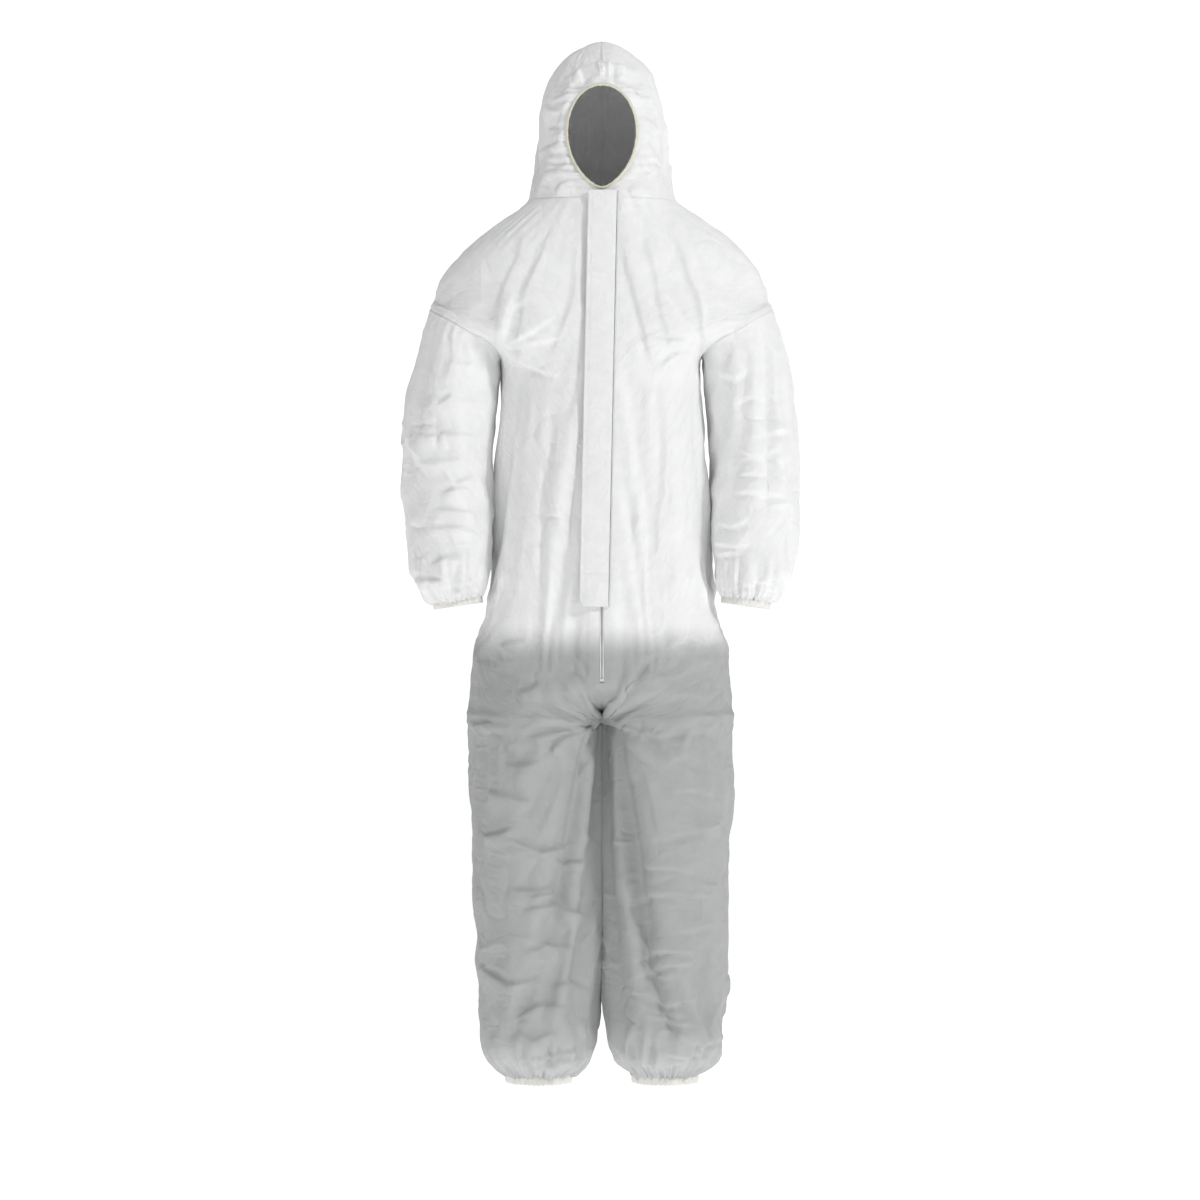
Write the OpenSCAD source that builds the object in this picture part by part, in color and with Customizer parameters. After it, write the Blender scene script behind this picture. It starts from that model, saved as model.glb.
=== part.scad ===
// Hooded disposable coverall for chemical protection, shaped as it hangs on a standing wearer.
// +Z is up, the front faces -Y, and the wearer's left is +X.
// The origin is the centre of the neck seam, where hood and body meet.

/* [Size] */
// Height of the hood above the neck seam
hood_h = 264; // [255:1:275]
// Depth of the crotch below the neck seam
crotch_drop = 826; // [820:1:835]
// Depth of the ankle hem below the neck seam
ankle_drop = 1419; // [1400:1:1440]
// Fabric wall, drawn thicker than the real 0.4 mm cloth
cloth_t = 1.2; // [1:0.1:1.6]

/* [Face opening] */
// Half width of the face opening
face_w = 57; // [50:1:62]
// Half height of the face opening
face_h = 85; // [80:1:88]
// Height of its middle above the neck seam
face_z = 97; // [95:1:99]

/* [Elastics] */
// Inner radius of the wrist elastic
wrist_r = 36; // [32:1:38]
// Inner radius of the ankle elastic
ankle_r = 50; // [46:1:54]
// Width of the wrist and ankle elastics
elastic_w = 12; // [10:1:14]
// Thickness of the gathered hem that holds an elastic
elastic_t = 3.5; // [3:0.5:4]

/* [Closure] */
// Length of the zip
zip_len = 786; // [780:1:790]
// Travel of the slider
zip_travel = 742; // [700:1:745]
// Length of the storm flap
flap_len = 662; // [640:1:680]
// Width of the storm flap
flap_w = 46; // [42:1:48]
// Sideways drift of the flap from its top to its lower end
flap_shift = 14; // [10:1:15]

/* [Hidden] */
$fn = 48;

arc_n = 12;             // steps along a quarter of the body's outline
tube_n = 32;            // steps round a sleeve or leg
squareness = 2.3;       // 2 is an ellipse, more is boxier
body_gap = 0.6;         // left between two bodies at rest
slot_x = 6;             // half of the slot between the front panels, where the zip shows

// ---------- the zip's own frame: its top at the neck seam, -z along the closure, +y into the suit ----------
zip_top_y = -104;
zip_end_y = -148;
zip_lean = atan((zip_top_y - zip_end_y) / 780);
function front_y(z) = zip_top_y + z * (zip_top_y - zip_end_y) / 780;

// ---------- body outline, as heights and half widths or depths ----------
body_half = [[-860, 219], [-760, 214], [-700, 203], [-650, 188], [-600, 179], [-520, 175], [-445, 171],
             [-370, 167], [-300, 163], [-235, 160], [-168, 275], [-146, 270], [-123, 261], [-98, 245],
             [-73, 222], [-48, 192], [-24, 158], [-12, 139], [0, 118]];
body_back = [[-860, 142], [-760, 146], [-700, 145], [-640, 139], [-560, 130], [-480, 123], [-400, 124],
             [-300, 128], [-220, 130], [-168, 128], [-123, 123], [-73, 115], [-24, 104], [0, 98]];
armhole_top = -168;
armpit = -235;
arm_depth = 85;
leg_x = 111;            // middle of a leg at the crotch
leg_half = 107;
leg_deep = 140;
leg_y = -2;
front_turn = -780;      // where the front's centre line turns under to the crotch
back_turn = -752;
side_turn = -766;

function mix(a, b, w) = a + (b - a) * w;
function clamp01(v) = min(1, max(0, v));
function ease(v) = let (c = clamp01(v)) c * c * (3 - 2 * c);
// depth of the armhole's edge in front of and behind the shoulder line, at height z
function armhole_y(z) =
    z > armhole_top || z < armpit ? 0
    : let (k = (2 * z - armhole_top - armpit) / (armhole_top - armpit)) arm_depth * sqrt(max(0, 1 - k * k));
function power(v, n) = pow(max(v, 0), 2 / n);
// how much of the outline at height z has already turned into the two legs
function turned(z, from) = 1 - pow(clamp01((z + crotch_drop) / (from + crotch_drop)), 0.55);

// A point on the body: z its height, s 0 at the centre line and 1 at the side, back 0 or 1, off its depth in the cloth
function body_point(z, s, back, off) =
    let (way = back == 1 ? 1 : -1,
         side = lookup(z, body_half) - off,
         deep = (back == 1 ? lookup(z, body_back) : -front_y(z)) - off,
         full = side / pow(1 - pow(armhole_y(z) / deep, squareness), 1 / squareness),
         a = s * asin(pow(side / full, squareness / 2)),
         x0 = back == 1 ? 0.3 : (z > front_turn ? slot_x : 0.4),
         open_x = x0 + (side - x0) / side * full * power(sin(a), squareness),
         open_y = way * deep * power(cos(a), squareness),
         b = s * 180,
         leg_px = leg_x - (leg_half - off) * cos(b),
         leg_py = leg_y + way * (leg_deep - off) * sin(b),
         w = turned(z, mix(back == 1 ? back_turn : front_turn, side_turn, s)),
         fill = 1 + 0.6 * w * (1 - w),
         drop = off * (z < -10 && z > -170 ? 0.8 : z >= -10 ? 0.4 : z < front_turn ? -0.6 : 0))
    [mix(open_x, leg_px, w), mix(open_y, leg_py, w) * fill, z - drop];

function body_rows(back) = concat([0, -12, -24, -48, -73, -98, -123, -146, armhole_top, -171, -176, -184, -193],
                            [(armhole_top + armpit) / 2, -210, -219, -227, -232, armpit],
                            [-265, -300, -370, -445, -520, -580, -640, -665, -700, -730],
                            back == 1 ? [-752, -766, -780] : [-756, -779.5, -780.5],
                            [-790, -800, -810, -818, -823, -crotch_drop]);

// ---------- closed solids from two matching grids of points ----------
// A slab between an outer and an inner grid. around true joins each row's end to its start.
module grid_solid(outer, inner, around = false) {
    rows = len(outer);
    cols = len(outer[0]);
    step_n = around ? cols : cols - 1;
    function id(i, j, k) = (k * rows + i) * cols + (j % cols);
    function quad(a, b, c, d) = [[a, b, c], [a, c, d]];
    points = [for (g = [outer, inner]) for (row = g) for (p = row) p];
    faces = [
        for (i = [0:rows - 2]) for (j = [0:step_n - 1])
            each quad(id(i, j, 0), id(i, j + 1, 0), id(i + 1, j + 1, 0), id(i + 1, j, 0)),
        for (i = [0:rows - 2]) for (j = [0:step_n - 1])
            each quad(id(i, j, 1), id(i + 1, j, 1), id(i + 1, j + 1, 1), id(i, j + 1, 1)),
        for (j = [0:step_n - 1])
            each quad(id(0, j, 1), id(0, j + 1, 1), id(0, j + 1, 0), id(0, j, 0)),
        for (j = [0:step_n - 1])
            each quad(id(rows - 1, j, 0), id(rows - 1, j + 1, 0), id(rows - 1, j + 1, 1), id(rows - 1, j, 1)),
        if (!around) for (i = [0:rows - 2])
            each quad(id(i, 0, 0), id(i + 1, 0, 0), id(i + 1, 0, 1), id(i, 0, 1)),
        if (!around) for (i = [0:rows - 2])
            each quad(id(i, cols - 1, 1), id(i + 1, cols - 1, 1), id(i + 1, cols - 1, 0), id(i, cols - 1, 0))];
    polyhedron(points, faces, convexity = 6);
}

module on_side(side) {
    if (side > 0) children();
    else mirror([1, 0, 0]) children();
}

// ---------- body ----------
module body_panel(side, back) {
    rows = body_rows(back);
    function grid(off) = [for (z = rows) [for (j = [0:arc_n])
        body_point(z, back == 1 ? (arc_n - j) / arc_n : j / arc_n, back, off)]];
    color("white") on_side(side) grid_solid(grid(0), grid(cloth_t));
}

// strip that joins the four panels under the crotch
module crotch_gusset() {
    half = 2.6;
    depth = 1.4;
    front = [for (z = [-800, -810, -818, -823, -crotch_drop]) let (p = body_point(z, 0, 0, 0)) [p[1], z]];
    back = [for (z = [-crotch_drop, -823, -818, -810, -800]) let (p = body_point(z, 0, 1, 0)) [p[1], z]];
    line = concat([for (p = front) p], [for (i = [1:len(back) - 1]) back[i]]);
    function sheet(up) = [for (p = line) [for (x = [-half, half]) [x, p[0] * (1 - up / 90), p[1] + up + 1.8]]];
    color("white") grid_solid(sheet(0), sheet(depth));
}

module waist_elastic() {
    color("ivory") grid_solid(
        [for (z = [-474, -486]) [for (x = [-110:10:110]) [x, waist_y(x) - 2.2, z]]],
        [for (z = [-474, -486]) [for (x = [-110:10:110]) [x, waist_y(x) - 3.6, z]]]);
}
function waist_y(x) = (123 - cloth_t) * pow(1 - pow(abs(x) / 173, squareness), 1 / squareness);

module neck_label() {
    color("whitesmoke") translate([-16, 90, -46]) rotate([-4, 0, 0]) cube([32, 0.6, 44]);
}

// ---------- hood ----------
hood_side = [[0, 117.4], [75, 107], [122, 103], [160, 97], [208, 82], [232, 63], [248, 42], [258, 22], [263.6, 3]];
hood_front = [[0, 104], [75, 98], [122, 97], [160, 93], [208, 78], [232, 60], [248, 40], [258, 21], [263.6, 3]];
hood_back = [[0, 97.4], [40, 103], [122, 113], [160, 110], [208, 93], [232, 70], [248, 46], [258, 24], [263.6, 3]];
collar_h = 38;
hood_z = hood_h / 264;

function hood_point(z, t, off) =
    let (a = lookup(z / hood_z, hood_side) - off,
         front = lookup(z / hood_z, hood_front) - off,
         back = lookup(z / hood_z, hood_back) - off,
         k = (z - face_z) / face_h,
         closed_x = z < face_z - face_h + 3 ? slot_x : 0.4,
         open_x = max(closed_x, abs(k) < 1 ? face_w * sqrt(1 - k * k) : 0),
         t0 = asin(min(0.98, open_x / a)),
         angle = mix(t0, 180, t),
         y = cos(angle) > 0 ? -front * cos(angle) : -back * cos(angle))
    [max(a * sin(angle), 0.2), y, z - off * pow(z / hood_h, 2) * 0.9];

module hood_shell(z_rows, gap) {
    function grid(off) = [for (z = z_rows) [for (j = [0:2 * arc_n]) hood_point(z, j / (2 * arc_n), off)]];
    grid_solid(grid(gap), grid(gap + cloth_t));
}

module hood_panel(side) {
    rows = [262.5, 258, 248, 236, 222, 208, 192, 181.5, 178, 172, 160, 140, 122, 97, 75, 54, collar_h];
    color("white") on_side(side) hood_shell([for (z = rows) z * hood_z], 0);
}

// the hood's lower edge, which creases as the hood goes back
module hood_collar() {
    rows = [collar_h - body_gap, 28, 20, 15, 12.3, 6, body_gap];
    color("white") for (side = [1, -1]) on_side(side) hood_shell(rows, 0);
}

// rolled elastic trim round the face opening
module face_elastic() {
    steps = 40;
    sides = 8;
    wide = 3.2;
    deep = 2.2;
    gap = 5;            // degrees left open either side of the zip
    function rim(a) =
        let (z = face_z + (face_h - wide - 0.6) * cos(a),
             x = (face_w - wide - 0.8) * sin(a),
             front = lookup(z / hood_z, hood_front),
             half = lookup(z / hood_z, hood_side))
        [x, -front * sqrt(1 - pow(x / half, 2)) + 1, z];
    rings = [for (i = [0:steps]) let (a = 180 + gap + i * (360 - 2 * gap) / steps, c = rim(a))
        [for (j = [0:sides - 1]) let (b = -j * 360 / sides)
            c + [sin(a) * cos(b) * wide, sin(b) * deep, cos(a) * cos(b) * wide]]];
    points = [for (r = rings) for (p = r) p];
    faces = concat(
        [for (i = [0:steps - 1]) for (j = [0:sides - 1])
            let (a = i * sides + j, b = i * sides + (j + 1) % sides, c = b + sides, d = a + sides)
            each [[a, c, b], [a, d, c]]],
        [[for (j = [0:sides - 1]) j], [for (j = [sides - 1:-1:0]) steps * sides + j]]);
    color("ivory") polyhedron(points, faces, convexity = 6);
}

// ---------- sleeves and legs: rings along a path ----------
// a ring: [x, y, z of its middle, its tilt about Y in degrees, half width, half depth]
sleeve_path = [[217.5, 0, -201.5, 30, 66.5, 85], [229, -1, -237, 22, 68.5, 86], [239, -2, -272, 15, 69.5, 87],
               [246, -4, -308, 9, 70, 87], [249.5, -6, -345, 4, 70, 86.5], [251.5, -9, -395, 1, 69.5, 85.5],
               [252, -13, -445, 0, 69, 84], [252, -19, -500, -2, 67, 80], [249, -27, -550, -4, 64, 75],
               [245, -36, -590, -6, 59, 69], [239.5, -42, -614, -7, 54, 62], [235, -46, -628, -8, 47.5, 52],
               [232.5, -47, -635, -8, 40.2, 40.2]];
leg_path = [[111, -2, -826, 0, 107, 140], [110.5, -1, -860, 0, 106.5, 135], [110, 0, -920, 0, 105.5, 126],
            [109.5, 0, -985, 0, 104.5, 117], [108, 0, -1040, 0, 103, 110], [107, 3, -1100, 0, 101.5, 106],
            [105.5, 7, -1160, 0, 100, 104], [104, 11, -1230, 0, 97.5, 102], [102.5, 14, -1300, 0, 95, 100],
            [102, 15, -1345, 0, 93, 98], [102, 15, -1372, 0, 89, 93], [102, 15, -1388, 0, 82, 86],
            [102, 15, -1399, 0, 71, 73], [102, 15, -1405, 0, 54.2, 54.2]];

// the ring at height z, between the path's own
function ring_at(path, z) = [for (k = [0:5]) k == 2 ? z
    : lookup(-z, [for (r = path) [-r[2], r[k]]])];
function ring_points(r, off, lift) = [for (j = [0:tube_n - 1]) let (a = -j * 360 / tube_n,
    u = (r[4] - off) * cos(a))
    [r[0] + u * cos(r[3]), r[1] + (r[5] - off) * sin(a), r[2] + u * sin(r[3]) + lift]];

module tube(path, z_top, z_end, at_hem = false) {
    inside = [for (r = path) if (r[2] < z_top - 2 && r[2] > z_end + 2) r[2]];
    heights = concat([z_top], inside, [z_end]);
    function grid(off) = [for (i = [0:len(heights) - 1])
        let (near_hem = at_hem && i > len(heights) - 4)
        ring_points(ring_at(path, heights[i]), off, near_hem ? off : 0)];
    color("white") grid_solid(grid(0), grid(cloth_t), true);
}

shoulder_end = -296;
elbow_top = -382;
elbow_end = -512;
hip_end = -962;
knee_top = -1026;
knee_end = -1164;
sleeve_end = -635;
leg_end = -1405;

module shoulder_cloth(side) { on_side(side) tube(sleeve_path, -202.6, shoulder_end + body_gap); }
module sleeve_upper(side) { on_side(side) tube(sleeve_path, shoulder_end, elbow_top); }
module elbow_cloth(side) { on_side(side) tube(sleeve_path, elbow_top - body_gap, elbow_end + body_gap); }
module sleeve_lower(side) { on_side(side) tube(sleeve_path, elbow_end, sleeve_end, true); }
module hip_cloth(side) { on_side(side) tube(leg_path, -crotch_drop - body_gap, hip_end + body_gap); }
module leg_upper(side) { on_side(side) tube(leg_path, hip_end, knee_top); }
module knee_cloth(side) { on_side(side) tube(leg_path, knee_top - body_gap, knee_end + body_gap); }
module leg_lower(side) { on_side(side) tube(leg_path, knee_end, leg_end, true); }

wrist_x = 232;
wrist_y = -47;
wrist_z = -636;
wrist_tilt = 8;
ankle_x = 102;
ankle_y = 15;

module ring(inner, wide) {
    rotate_extrude() translate([inner, 0]) square([elastic_t, wide]);
}
module wrist_elastic(side) {
    color("white") on_side(side) translate([wrist_x, wrist_y, wrist_z])
        rotate([0, wrist_tilt, 0]) translate([0, 0, -elastic_w - 0.2]) ring(wrist_r, elastic_w);
}
module ankle_elastic(side) {
    color("white") on_side(side) translate([ankle_x, ankle_y, -ankle_drop]) ring(ankle_r, elastic_w);
}

// ---------- zip and storm flap ----------
module zip_frame() { translate([0, zip_top_y, 0]) rotate([-zip_lean, 0, 0]) children(); }

tape_x = 0.6;
tape_w = 15;
coil_w = 2.6;
zip_above = 8;          // how far the zip runs above the neck seam
slider_z = -2;          // middle of the slider when the zip is shut
slider_l = 13;
slider_w = 9.6;
pivot_y = -3.1;         // the pull's crossbar, in front of the slider's top plate

module zip_tape(side) {
    color("white") on_side(side) zip_frame()
        translate([tape_x, 2.7, -zip_len + zip_above]) cube([tape_w, 0.4, zip_len]);
}
module zip_coil(side) {
    color("white") on_side(side) zip_frame() translate([tape_x, 0.3, -zip_len + zip_above + 12])
        linear_extrude(zip_len - 15) polygon([[0, 0.4], [0.4, 0], [2.2, 0], [coil_w, 0.4], [coil_w, 2.1], [0, 2.1]]);
}
module zip_top_stops() {
    color("silver") for (side = [1, -1]) on_side(side) zip_frame()
        translate([tape_x, -0.1, zip_above - 2.6]) cube([coil_w + 0.4, 2.4, 2.4]);
}
module zip_bottom_stop() {
    color("silver") zip_frame() translate([-3.4, -0.1, -zip_len + zip_above + 7]) cube([6.8, 2.4, 4.6]);
}

// two plates joined by a thin neck between the coils, and a bridge for the pull
module zip_slider() {
    module plate(y, thick, w) {
        translate([0, y + thick, 0]) rotate([90, 0, 0]) linear_extrude(thick)
            polygon([[-w / 2, -slider_l / 2 + 2], [-w / 2 + 2, -slider_l / 2], [w / 2 - 2, -slider_l / 2],
                     [w / 2, -slider_l / 2 + 2], [w / 2 - 0.6, slider_l / 2], [-w / 2 + 0.6, slider_l / 2]]);
    }
    color("silver") zip_frame() translate([0, 0, slider_z]) {
        plate(-1.9, 1.3, slider_w);
        plate(3.4, 1.1, slider_w);
        translate([-0.35, -0.7, 1]) cube([0.7, 4.2, 4.5]);
        for (z = [-4.6, 3.4]) translate([-1.2, -5.2, z]) cube([2.4, 3.4, 1.2]);
        translate([-1.2, -5.2, -4.6]) cube([2.4, 1, 9.2]);
    }
}

// tab whose crossbar turns under the slider's bridge
module zip_pull() {
    color("silver") zip_frame() translate([0, pivot_y, slider_z]) {
        translate([-3.4, 0, 0]) rotate([0, 90, 0]) cylinder(r = 0.7, h = 6.8);
        for (x = [-3.4, 1.8]) translate([x, -0.6, -9]) cube([1.6, 1.2, 9]);
        difference() {
            translate([0, 0.6, -9]) rotate([90, 0, 0]) linear_extrude(1.2)
                polygon([[-3.4, 0.4], [3.4, 0.4], [4, -3], [4, -17], [2.6, -19], [-2.6, -19], [-4, -17], [-4, -3]]);
            translate([0, 1, -23]) rotate([90, 0, 0]) cylinder(r = 1.6, h = 2);
        }
    }
}

flap_hinge_x = 24;
flap_hinge_y = -7.3;    // clear of the slider and its pull
flap_top = 9;
flap_t = 1.4;
flap_turn = atan(flap_shift / flap_len);

module flap_frame() {
    zip_frame() translate([flap_hinge_x, 0, flap_top]) rotate([0, flap_turn, 0]) children();
}
// flat strip that swings on its sewn edge, its lower free corner cut off
module storm_flap() {
    color("white") flap_frame() translate([0, flap_hinge_y + flap_t / 2, 0])
        rotate([90, 0, 0]) linear_extrude(flap_t)
            polygon([[0.4, 0], [0.4, -flap_len], [-flap_w + 9, -flap_len], [-flap_w, -flap_len + 7], [-flap_w, 0]]);
}
// seam allowance that stands between the flap and the front panel
module flap_seam() {
    color("white") flap_frame() translate([1, -6.2, -flap_len]) cube([2.4, 5.8, flap_len]);
}

body_panel(1, 0);  // left_front_panel
body_panel(-1, 0);  // right_front_panel
body_panel(1, 1);  // left_back_panel
body_panel(-1, 1);  // right_back_panel
crotch_gusset();
waist_elastic();
neck_label();
hood_panel(1);  // left_hood_panel
hood_panel(-1);  // right_hood_panel
hood_collar();
face_elastic();
zip_tape(1);  // left_zip_tape
zip_tape(-1);  // right_zip_tape
zip_coil(1);  // left_zip_coil
zip_coil(-1);  // right_zip_coil
zip_top_stops();
zip_bottom_stop();
zip_slider();
zip_pull();
storm_flap();
flap_seam();
shoulder_cloth(1);  // left_shoulder_cloth
shoulder_cloth(-1);  // right_shoulder_cloth
sleeve_upper(1);  // left_sleeve_upper
sleeve_upper(-1);  // right_sleeve_upper
elbow_cloth(1);  // left_elbow_cloth
elbow_cloth(-1);  // right_elbow_cloth
sleeve_lower(1);  // left_sleeve_lower
sleeve_lower(-1);  // right_sleeve_lower
wrist_elastic(1);  // left_wrist_elastic
wrist_elastic(-1);  // right_wrist_elastic
hip_cloth(1);  // left_hip_cloth
hip_cloth(-1);  // right_hip_cloth
leg_upper(1);  // left_leg_upper
leg_upper(-1);  // right_leg_upper
knee_cloth(1);  // left_knee_cloth
knee_cloth(-1);  // right_knee_cloth
leg_lower(1);  // left_leg_lower
leg_lower(-1);  // right_leg_lower
ankle_elastic(1);  // left_ankle_elastic
ankle_elastic(-1);  // right_ankle_elastic
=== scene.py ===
"""A hooded disposable coverall: its cloth is hung by simulation on a stand-in body, refined, and cut into pieces."""

import bpy
import numpy as np
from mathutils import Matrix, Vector, noise


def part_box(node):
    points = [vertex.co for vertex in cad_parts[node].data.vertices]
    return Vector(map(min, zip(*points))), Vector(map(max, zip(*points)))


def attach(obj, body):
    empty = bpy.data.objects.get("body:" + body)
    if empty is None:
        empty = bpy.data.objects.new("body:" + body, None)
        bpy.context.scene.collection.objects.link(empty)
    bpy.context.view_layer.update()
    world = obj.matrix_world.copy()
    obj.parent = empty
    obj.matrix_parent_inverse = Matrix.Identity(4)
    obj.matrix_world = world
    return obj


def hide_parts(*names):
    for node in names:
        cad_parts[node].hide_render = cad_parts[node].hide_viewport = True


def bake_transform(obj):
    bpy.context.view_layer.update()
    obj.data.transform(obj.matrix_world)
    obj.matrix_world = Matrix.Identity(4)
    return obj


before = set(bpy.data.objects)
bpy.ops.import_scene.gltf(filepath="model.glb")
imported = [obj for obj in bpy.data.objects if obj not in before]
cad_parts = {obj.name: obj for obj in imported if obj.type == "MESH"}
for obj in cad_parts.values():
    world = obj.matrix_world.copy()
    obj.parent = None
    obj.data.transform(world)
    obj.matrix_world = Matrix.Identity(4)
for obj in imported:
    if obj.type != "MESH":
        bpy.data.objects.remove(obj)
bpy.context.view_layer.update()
MM = 0.001
PI = np.pi


# ---------------------------------------------------------------- the frame's own sizes, in metres
def box(node):
    """A node's low and high corners."""
    low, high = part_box(node)
    return np.array(low), np.array(high)


PANEL_LOW, PANEL_HIGH = box("left_front_panel")
FACE_LOW, FACE_HIGH = box("face_elastic")

NECK_HALF = box("hood_collar")[1][0]
CROTCH = PANEL_LOW[2]
HOOD_TOP = box("left_hood_panel")[1][2]
SHOULDER = PANEL_HIGH[0]
ARM_TOP = -168 * MM  # the armhole's upper end, on the shoulder
ARMPIT = -235 * MM
ARM_DEEP = 85 * MM
SQUARE = 2.3  # the body's cross-section: 2 is an ellipse, more is boxier
FACE_Z = (FACE_LOW[2] + FACE_HIGH[2]) / 2
FACE_W = FACE_HIGH[0] - 1 * MM
FACE_H = (FACE_HIGH[2] - FACE_LOW[2]) / 2 - 1 * MM
ZIP_TOP_Y = -104 * MM
ZIP_SLOPE = 44 / 780


def outline(points):
    """An interpolated outline through (height, size) points given in millimetres."""
    rows = np.array(sorted(points), float) * MM
    return lambda z: np.interp(z, rows[:, 0], rows[:, 1])


body_half = outline([(-860, 219), (-760, 214), (-700, 203), (-650, 188), (-600, 179), (-520, 175), (-445, 171),
                     (-370, 167), (-300, 163), (-235, 160)])
shoulder_half = outline([(-235, 160), (-168, 275), (-146, 270), (-123, 261), (-98, 245),
                         (-73, 222), (-48, 192), (-24, 158), (-12, 139), (0, 118)])
body_back = outline([(-860, 142), (-760, 146), (-700, 145), (-640, 139), (-560, 130), (-480, 123), (-400, 124),
                     (-300, 128), (-220, 130), (-168, 128), (-123, 123), (-73, 115), (-24, 104), (0, 98)])
hood_half = outline([(0, 118), (75, 107), (122, 103), (160, 97), (208, 82), (232, 63), (248, 42), (258, 22),
                     (264, 2)])
hood_front = outline([(0, 104), (75, 98), (122, 97), (160, 93), (208, 78), (232, 60), (248, 40), (258, 21),
                      (264, 2)])
hood_back = outline([(0, 98), (40, 103), (122, 113), (160, 110), (208, 93), (232, 70), (248, 46), (258, 24),
                     (264, 2)])
# middle x, middle y, height, tilt in degrees, half width, half depth
SLEEVE_PATH = np.array([
    (217.5, 0, -201.5, 30.2, 66.5, 85), (228, -1, -237, 22, 69.5, 86), (236, -2, -272, 15, 72.5, 87),
    (242, -4, -308, 9, 74, 87), (245.5, -6, -345, 4, 75, 86.5), (247.5, -9, -395, 1, 75, 85.5),
    (247, -13, -445, 0, 75, 84), (246, -19, -500, -2, 73, 80), (245, -27, -550, -4, 69, 75),
    (243, -36, -590, -6, 62, 69), (239.5, -42, -614, -7, 57, 62), (235, -46, -630, -8, 50, 50),
    (231.5, -47, -639, -8, 38.5, 38.5)])
LEG_PATH = np.array([
    (109, -2, -826, 0, 109, 128), (109, -1, -860, 0, 108, 127), (108.5, 0, -920, 0, 107.5, 121),
    (108, 0, -985, 0, 106.5, 115), (107, 0, -1040, 0, 105, 110), (106, 3, -1100, 0, 104, 106),
    (104.5, 7, -1160, 0, 102, 104), (103.5, 11, -1230, 0, 99.5, 102), (102.5, 14, -1300, 0, 95, 100),
    (102, 15, -1345, 0, 93, 98), (102, 15, -1372, 0, 89, 93), (102, 15, -1388, 0, 82, 86),
    (102, 15, -1399, 0, 70, 72), (102, 15, -1410, 0, 52.5, 52.5)])

# ---------------------------------------------------------------- the grids of the cloth, all welded into one
HALF_COLS = 36  # columns across one quarter of the body, and half a leg's ring
SHOULDER_ROWS, ARM_ROWS, SIDE_ROWS = 20, 28, 62
HOOD_ROWS, CHIN_ROWS, FACE_ROWS = 46, 2, 30
SLEEVE_ROWS, LEG_ROWS = 52, 66


def spread(points, count):
    """count + 1 points at equal steps along a polyline."""
    points = np.asarray(points, float)
    run = np.concatenate([[0], np.cumsum(np.linalg.norm(np.diff(points, axis=0), axis=1))])
    steps = np.linspace(0, run[-1], count + 1)
    return np.stack([np.interp(steps, run, points[:, k]) for k in range(points.shape[1])], 1)


def arm_ring(angle):
    """The armhole's edge: angle 0 on the shoulder, pi at the armpit."""
    middle, half = (ARM_TOP + ARMPIT) / 2, (ARM_TOP - ARMPIT) / 2
    z = middle + half * np.cos(angle)
    return np.interp(z, [ARMPIT, ARM_TOP], [160 * MM, SHOULDER]), ARM_DEEP * np.sin(angle), z


def body_edge():
    """The panel's outer edge, down the shoulder, round the armhole, down the side: x, depth and height."""
    z = np.linspace(0, ARM_TOP, 40)
    top = spread(np.stack([shoulder_half(z), 0 * z, z], 1), SHOULDER_ROWS)
    angle = np.linspace(0, PI, ARM_ROWS + 1)
    arm = np.stack(arm_ring(angle), 1)
    z = np.linspace(ARMPIT, CROTCH, 60)
    side = spread(np.stack([body_half(z), 0 * z, z], 1), SIDE_ROWS)
    return np.concatenate([top, arm[1:], side[1:]])


def body_centre(count):
    """Heights of the rows where they meet the centre line."""
    top = np.linspace(0, -0.120, SHOULDER_ROWS + 1)
    arm = np.linspace(-0.120, -0.310, ARM_ROWS + 1)
    side = np.linspace(-0.310, CROTCH, SIDE_ROWS + 1)
    return np.concatenate([top, arm[1:], side[1:]])[:count]


def body_grid(back):
    """Quarter of the body on the wearer's left, rows by columns, from the centre line out to the edge."""
    edge = body_edge()
    rows = len(edge)
    zc = body_centre(rows)
    s = np.linspace(0, 1, HALF_COLS + 1)
    way = 1 if back else -1
    turn = (-0.752 if back else -0.780) * (1 - s) - 0.766 * s
    grid = np.zeros((rows, HALF_COLS + 1, 3))
    for r in range(rows):
        xe, ye, ze = edge[r]
        z = zc[r] + (ze - zc[r]) * s ** 2
        deep = body_back(z) if back else -(ZIP_TOP_Y + z * ZIP_SLOPE)
        deep_e = deep[-1]
        full = xe / (1 - (ye / deep_e) ** SQUARE) ** (1 / SQUARE)
        a = s * np.arcsin(min(1, (xe / full) ** (SQUARE / 2)))
        x = full * np.sin(a) ** (2 / SQUARE)
        y = deep * np.cos(a).clip(0) ** (2 / SQUARE)
        w = np.clip(1 - ((z - CROTCH) / (turn - CROTCH)).clip(0, 1) ** 0.55, 0, 1)
        leg = LEG_PATH[0] * MM
        lx = leg[0] - leg[4] * np.cos(PI * s)
        ly = way * leg[1] + leg[5] * np.sin(PI * s)
        fill = 1 + 0.2 * w * (1 - w)
        grid[r, :, 0] = x * (1 - w) + lx * w
        grid[r, :, 1] = way * (y * (1 - w) + ly * w) * fill
        grid[r, :, 2] = z
    grid[-1, :, 2] = CROTCH
    return grid


def ring(row, angles):
    """One ring of a sleeve or leg: angle 0 outwards (the wearer's left), turning by the front."""
    x, y, z, tilt, half, deep = row
    u = half * np.cos(angles)
    return np.stack([x + u * np.cos(np.radians(tilt)), y - deep * np.sin(angles),
                     z + u * np.sin(np.radians(tilt))], 1) * MM


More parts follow.
